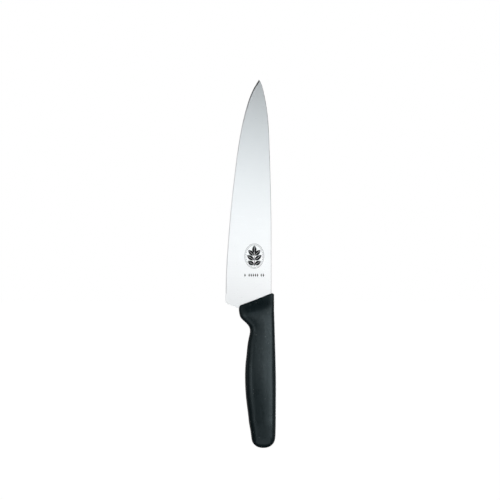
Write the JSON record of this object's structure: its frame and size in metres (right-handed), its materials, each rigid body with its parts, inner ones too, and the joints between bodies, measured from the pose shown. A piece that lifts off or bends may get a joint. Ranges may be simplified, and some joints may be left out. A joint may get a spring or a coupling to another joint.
{
  "type": "chef knife",
  "caption": "Chef's knife with a pointed flat-ground steel blade, a hidden tang and a moulded black nylon handle with a finger guard.",
  "frame": {"origin": "bottom centre of the knife's box: the middle of the handle's butt, with the knife upright, point up", "axes": "+Z from the butt to the point of the blade; the cutting edge faces -X and the spine +X; the blade's marked side faces -Y"},
  "size_m": [0.0428, 0.0168, 0.3083],
  "materials": {
    "steel": "satin, finely ground across the blade",
    "nylon": "black, fine moulded grain"
  },
  "bodies": {
    "root": {"blade": "steel", "handle": "nylon"}
  },
  "joints": []
}
